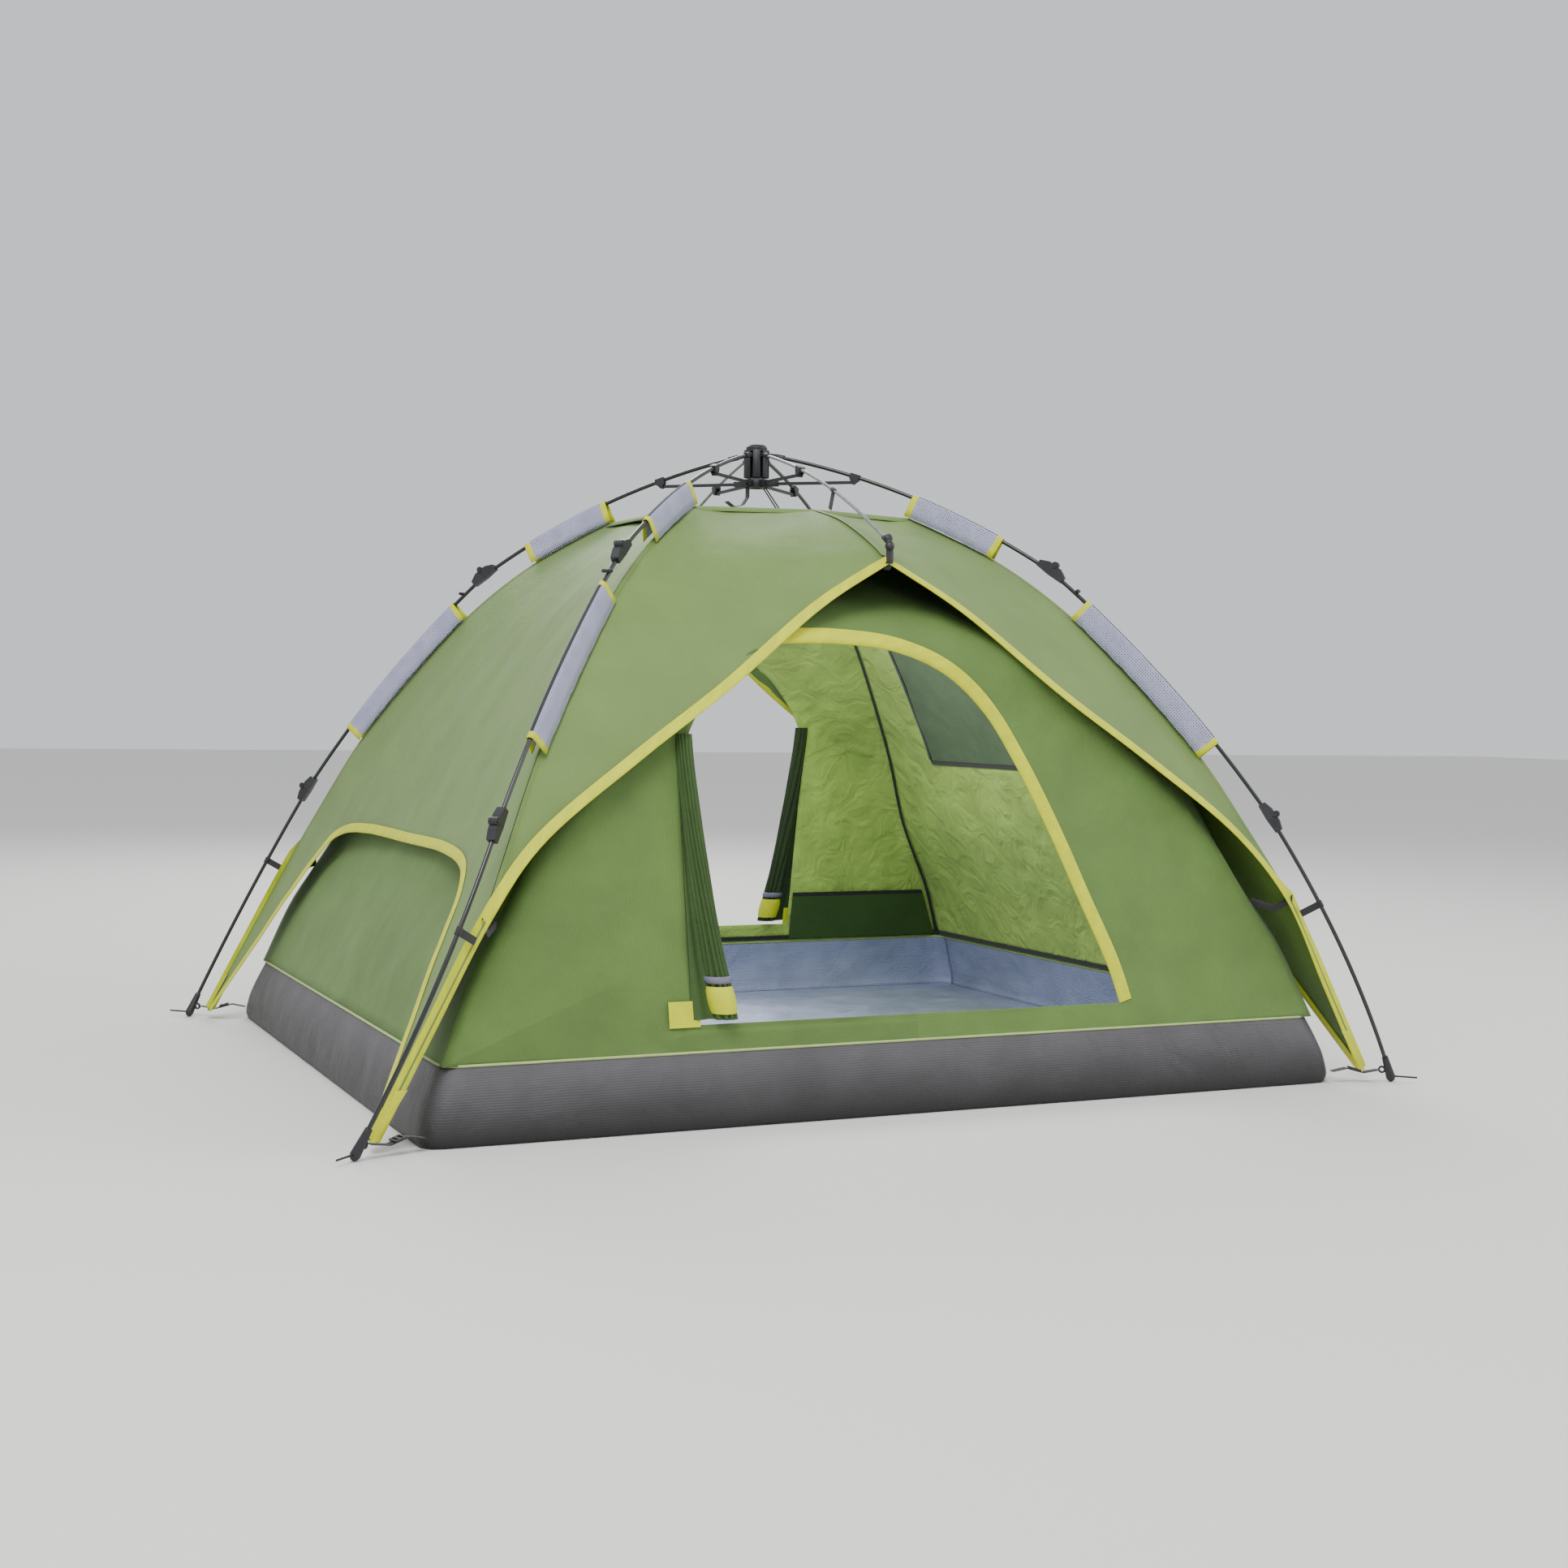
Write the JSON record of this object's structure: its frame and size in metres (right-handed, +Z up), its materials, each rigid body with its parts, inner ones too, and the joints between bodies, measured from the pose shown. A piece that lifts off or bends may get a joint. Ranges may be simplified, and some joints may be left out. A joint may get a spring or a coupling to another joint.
{
  "type": "dome tent",
  "caption": "Automatic dome tent: a jointed folding hub frame over a fly, with a walled inner tent, two doorways and a bucket floor.",
  "frame": {"origin": "centre of the floor, on the ground", "axes": "+Z up, +X along the tent's length, the front doorway faces -Y"},
  "size_m": [2.3182, 1.8458, 1.38],
  "materials": {
    "pole_black": "satin",
    "rod_grey": "satin",
    "sleeve_mesh": "matte",
    "strut_black": "satin",
    "black_plastic": "satin",
    "pin_steel": "satin",
    "black_webbing": "matte",
    "tub_cloth": "matte",
    "inner_cloth": "matte",
    "window_mesh": "matte",
    "yellow_tape": "matte",
    "green_piping": "matte",
    "fly_cloth": "matte"
  },
  "bodies": {
    "tent_body": {"floor_tub": "tub_cloth", "inner_tent": "inner_cloth", "side_windows": "window_mesh", "doors": "inner_cloth", "door_trims": "yellow_tape", "tub_piping": "green_piping", "fly": "fly_cloth", "fly_trim": "yellow_tape", "corner_webbing": "black_webbing", "strap_buckles": "black_plastic", "pole_straps": "black_webbing"},
    "hub": {"hub_housing": "black_plastic", "hub_cap": "black_plastic", "hub_pins": "pin_steel"},
    "runner": {"runner": "black_plastic", "pull_strap": "black_webbing", "fly_cords": "black_webbing"},
    "upper_leg_front_right": {"upper_pole_front_right": "pole_black", "upper_fittings_front_right": "black_plastic", "upper_sleeve_front_right": "sleeve_mesh"},
    "middle_leg_front_right": {"middle_pole_front_right": "pole_black", "middle_fittings_front_right": "black_plastic", "lower_sleeve_front_right": "sleeve_mesh"},
    "lower_leg_front_right": {"lower_pole_front_right": "pole_black", "foot_front_right": "black_plastic"},
    "strut_front_right": {"strut_front_right": "strut_black"},
    "upper_leg_back_right": {"upper_pole_back_right": "pole_black", "upper_fittings_back_right": "black_plastic", "upper_sleeve_back_right": "sleeve_mesh"},
    "middle_leg_back_right": {"middle_pole_back_right": "pole_black", "middle_fittings_back_right": "black_plastic", "lower_sleeve_back_right": "sleeve_mesh"},
    "lower_leg_back_right": {"lower_pole_back_right": "pole_black", "foot_back_right": "black_plastic"},
    "strut_back_right": {"strut_back_right": "strut_black"},
    "upper_leg_back_left": {"upper_pole_back_left": "pole_black", "upper_fittings_back_left": "black_plastic", "upper_sleeve_back_left": "sleeve_mesh"},
    "middle_leg_back_left": {"middle_pole_back_left": "pole_black", "middle_fittings_back_left": "black_plastic", "lower_sleeve_back_left": "sleeve_mesh"},
    "lower_leg_back_left": {"lower_pole_back_left": "pole_black", "foot_back_left": "black_plastic"},
    "strut_back_left": {"strut_back_left": "strut_black"},
    "upper_leg_front_left": {"upper_pole_front_left": "pole_black", "upper_fittings_front_left": "black_plastic", "upper_sleeve_front_left": "sleeve_mesh"},
    "middle_leg_front_left": {"middle_pole_front_left": "pole_black", "middle_fittings_front_left": "black_plastic", "lower_sleeve_front_left": "sleeve_mesh"},
    "lower_leg_front_left": {"lower_pole_front_left": "pole_black", "foot_front_left": "black_plastic"},
    "strut_front_left": {"strut_front_left": "strut_black"},
    "ridge_arm_front": {"ridge_rod_front": "rod_grey", "ridge_fittings_front": "black_plastic"},
    "strut_front": {"strut_front": "strut_black"},
    "ridge_arm_back": {"ridge_rod_back": "rod_grey", "ridge_fittings_back": "black_plastic"},
    "strut_back": {"strut_back": "strut_black"}
  },
  "joints": [
    {"name": "hub_fold", "type": "slide", "parent": "tent_body", "child": "hub", "axis": [0, 0, -1], "range_m": [0, 0.6], "deforming": ["inner_tent", "side_windows", "doors", "door_trims", "fly", "fly_trim", "corner_webbing", "pole_straps"]},
    {"name": "runner_slide", "type": "slide", "parent": "hub", "child": "runner", "axis": [0, 0, -1], "range_m": [0, 0.31223], "deforming": ["pull_strap", "fly_cords"]},
    {"name": "arm_hinge_front_right", "type": "hinge", "parent": "hub", "child": "upper_leg_front_right", "pos_m": [0.01744, -0.01649, 1.358], "axis": [0.6871, 0.7266, 0], "range_deg": [0, 50]},
    {"name": "upper_knuckle_front_right", "type": "hinge", "parent": "upper_leg_front_right", "child": "middle_leg_front_right", "pos_m": [0.50584, -0.47835, 1.10161], "axis": [-0.6871, -0.7266, 0], "range_deg": [0, 148]},
    {"name": "lower_knuckle_front_right", "type": "hinge", "parent": "middle_leg_front_right", "child": "lower_leg_front_right", "pos_m": [0.85632, -0.80978, 0.57288], "axis": [-0.6871, -0.7266, 0], "range_deg": [0, 178]},
    {"name": "strut_hinge_front_right", "type": "hinge", "parent": "upper_leg_front_right", "child": "strut_front_right", "pos_m": [0.16858, -0.15942, 1.29116], "axis": [-0.6871, -0.7266, 0], "range_deg": [0, 121.28]},
    {"name": "arm_hinge_back_right", "type": "hinge", "parent": "hub", "child": "upper_leg_back_right", "pos_m": [0.01744, 0.01649, 1.358], "axis": [-0.6871, 0.7266, 0], "range_deg": [0, 50]},
    {"name": "upper_knuckle_back_right", "type": "hinge", "parent": "upper_leg_back_right", "child": "middle_leg_back_right", "pos_m": [0.50584, 0.47835, 1.10161], "axis": [0.6871, -0.7266, 0], "range_deg": [0, 148]},
    {"name": "lower_knuckle_back_right", "type": "hinge", "parent": "middle_leg_back_right", "child": "lower_leg_back_right", "pos_m": [0.85632, 0.80978, 0.57288], "axis": [0.6871, -0.7266, 0], "range_deg": [0, 178]},
    {"name": "strut_hinge_back_right", "type": "hinge", "parent": "upper_leg_back_right", "child": "strut_back_right", "pos_m": [0.16858, 0.15942, 1.29116], "axis": [0.6871, -0.7266, 0], "range_deg": [0, 121.28]},
    {"name": "arm_hinge_back_left", "type": "hinge", "parent": "hub", "child": "upper_leg_back_left", "pos_m": [-0.01744, 0.01649, 1.358], "axis": [-0.6871, -0.7266, 0], "range_deg": [0, 50]},
    {"name": "upper_knuckle_back_left", "type": "hinge", "parent": "upper_leg_back_left", "child": "middle_leg_back_left", "pos_m": [-0.50584, 0.47835, 1.10161], "axis": [0.6871, 0.7266, 0], "range_deg": [0, 148]},
    {"name": "lower_knuckle_back_left", "type": "hinge", "parent": "middle_leg_back_left", "child": "lower_leg_back_left", "pos_m": [-0.85632, 0.80978, 0.57288], "axis": [0.6871, 0.7266, 0], "range_deg": [0, 178]},
    {"name": "strut_hinge_back_left", "type": "hinge", "parent": "upper_leg_back_left", "child": "strut_back_left", "pos_m": [-0.16858, 0.15942, 1.29116], "axis": [0.6871, 0.7266, 0], "range_deg": [0, 121.28]},
    {"name": "arm_hinge_front_left", "type": "hinge", "parent": "hub", "child": "upper_leg_front_left", "pos_m": [-0.01744, -0.01649, 1.358], "axis": [0.6871, -0.7266, 0], "range_deg": [0, 50]},
    {"name": "upper_knuckle_front_left", "type": "hinge", "parent": "upper_leg_front_left", "child": "middle_leg_front_left", "pos_m": [-0.50584, -0.47835, 1.10161], "axis": [-0.6871, 0.7266, 0], "range_deg": [0, 148]},
    {"name": "lower_knuckle_front_left", "type": "hinge", "parent": "middle_leg_front_left", "child": "lower_leg_front_left", "pos_m": [-0.85632, -0.80978, 0.57288], "axis": [-0.6871, 0.7266, 0], "range_deg": [0, 178]},
    {"name": "strut_hinge_front_left", "type": "hinge", "parent": "upper_leg_front_left", "child": "strut_front_left", "pos_m": [-0.16858, -0.15942, 1.29116], "axis": [-0.6871, 0.7266, 0], "range_deg": [0, 121.28]},
    {"name": "ridge_hinge_front", "type": "hinge", "parent": "hub", "child": "ridge_arm_front", "pos_m": [0, -0.024, 1.358], "axis": [1, 0, 0], "range_deg": [0, 49.91]},
    {"name": "strut_hinge_front", "type": "hinge", "parent": "ridge_arm_front", "child": "strut_front", "pos_m": [0, -0.2321, 1.29102], "axis": [-1, 0, 0], "range_deg": [0, 121.14]},
    {"name": "ridge_hinge_back", "type": "hinge", "parent": "hub", "child": "ridge_arm_back", "pos_m": [0, 0.024, 1.358], "axis": [-1, 0, 0], "range_deg": [0, 49.91]},
    {"name": "strut_hinge_back", "type": "hinge", "parent": "ridge_arm_back", "child": "strut_back", "pos_m": [0, 0.2321, 1.29102], "axis": [1, 0, 0], "range_deg": [0, 121.14]}
  ],
  "couplings": [
    {"joint": "runner_slide", "follows": "hub_fold", "ratio": 0.52038},
    {"joint": "arm_hinge_front_right", "follows": "hub_fold", "rad_per_m": 1.4544},
    {"joint": "upper_knuckle_front_right", "follows": "hub_fold", "rad_per_m": 4.3051},
    {"joint": "lower_knuckle_front_right", "follows": "hub_fold", "rad_per_m": 5.1778},
    {"joint": "strut_hinge_front_right", "follows": "hub_fold", "rad_per_m": 3.5278},
    {"joint": "arm_hinge_back_right", "follows": "hub_fold", "rad_per_m": 1.4544},
    {"joint": "upper_knuckle_back_right", "follows": "hub_fold", "rad_per_m": 4.3051},
    {"joint": "lower_knuckle_back_right", "follows": "hub_fold", "rad_per_m": 5.1778},
    {"joint": "strut_hinge_back_right", "follows": "hub_fold", "rad_per_m": 3.5278},
    {"joint": "arm_hinge_back_left", "follows": "hub_fold", "rad_per_m": 1.4544},
    {"joint": "upper_knuckle_back_left", "follows": "hub_fold", "rad_per_m": 4.3051},
    {"joint": "lower_knuckle_back_left", "follows": "hub_fold", "rad_per_m": 5.1778},
    {"joint": "strut_hinge_back_left", "follows": "hub_fold", "rad_per_m": 3.5278},
    {"joint": "arm_hinge_front_left", "follows": "hub_fold", "rad_per_m": 1.4544},
    {"joint": "upper_knuckle_front_left", "follows": "hub_fold", "rad_per_m": 4.3051},
    {"joint": "lower_knuckle_front_left", "follows": "hub_fold", "rad_per_m": 5.1778},
    {"joint": "strut_hinge_front_left", "follows": "hub_fold", "rad_per_m": 3.5278},
    {"joint": "ridge_hinge_front", "follows": "hub_fold", "rad_per_m": 1.4517},
    {"joint": "strut_hinge_front", "follows": "hub_fold", "rad_per_m": 3.5239},
    {"joint": "ridge_hinge_back", "follows": "hub_fold", "rad_per_m": 1.4517},
    {"joint": "strut_hinge_back", "follows": "hub_fold", "rad_per_m": 3.5239}
  ]
}
